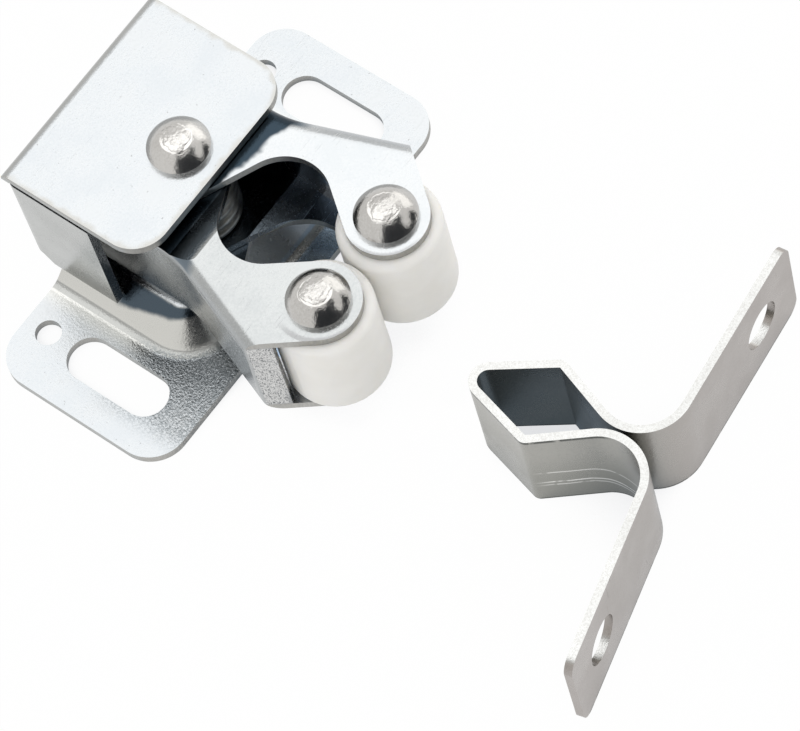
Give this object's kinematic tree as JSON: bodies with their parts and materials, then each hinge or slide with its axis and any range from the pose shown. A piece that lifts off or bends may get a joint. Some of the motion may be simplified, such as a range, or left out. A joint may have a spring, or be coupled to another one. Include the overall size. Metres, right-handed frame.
{
  "type": "double roller catch",
  "caption": "Cupboard door catch: two sprung arms with rollers in a folded steel housing, and the arrow-headed strike that the rollers grip.",
  "frame": {"origin": "on the mounting plane, midway between the two small round fixing holes of the housing", "axes": "+Z away from the mounting surface along the pivot, +Y from the back wall towards the rollers and the strike, +X across the catch"},
  "size_m": [0.0499, 0.0763, 0.0216],
  "materials": {
    "housing_steel": "bright zinc plate, satin",
    "arm_steel": "bright zinc plate, satin",
    "rivet_steel": "bright zinc plate, polished dome",
    "roller_nylon": "translucent white nylon, satin",
    "spring_steel": "dark drawn spring wire",
    "strike_steel": "zinc plate, satin, warm grey"
  },
  "bodies": {
    "housing_body": {"housing": "housing_steel", "pivot_rivet": "rivet_steel", "spring": "spring_steel"},
    "arm_right_body": {"arm_right": "arm_steel", "roller_rivet_right": "rivet_steel"},
    "arm_left_body": {"arm_left": "arm_steel", "roller_rivet_left": "rivet_steel"},
    "roller_right_body": {"roller_right": "roller_nylon"},
    "roller_left_body": {"roller_left": "roller_nylon"},
    "strike_body": {"strike": "strike_steel"}
  },
  "joints": [
    {"name": "arm_right_swing", "type": "hinge", "parent": "housing_body", "child": "arm_right_body", "pos_m": [0, 0.0075, 0.0114], "axis": [0, 0, -1], "range_deg": [0, 18], "stiffness_Nm_per_rad": 0.12, "springref_deg": -17.19, "deforming": ["spring"]},
    {"name": "arm_left_swing", "type": "hinge", "parent": "housing_body", "child": "arm_left_body", "pos_m": [0, 0.0075, 0.0114], "axis": [0, 0, 1], "range_deg": [0, 18], "stiffness_Nm_per_rad": 0.12, "springref_deg": -17.19, "deforming": ["spring"]},
    {"name": "roller_right_spin", "type": "hinge", "parent": "arm_right_body", "child": "roller_right_body", "pos_m": [0.00545, 0.0289, 0.0114], "axis": [0, 0, 1], "continuous": true},
    {"name": "roller_left_spin", "type": "hinge", "parent": "arm_left_body", "child": "roller_left_body", "pos_m": [-0.00545, 0.0289, 0.0114], "axis": [0, 0, 1], "continuous": true},
    {"name": "strike_travel", "type": "slide", "parent": "housing_body", "child": "strike_body", "axis": [0, -1, 0], "range_m": [-0.02, 0.008]}
  ]
}
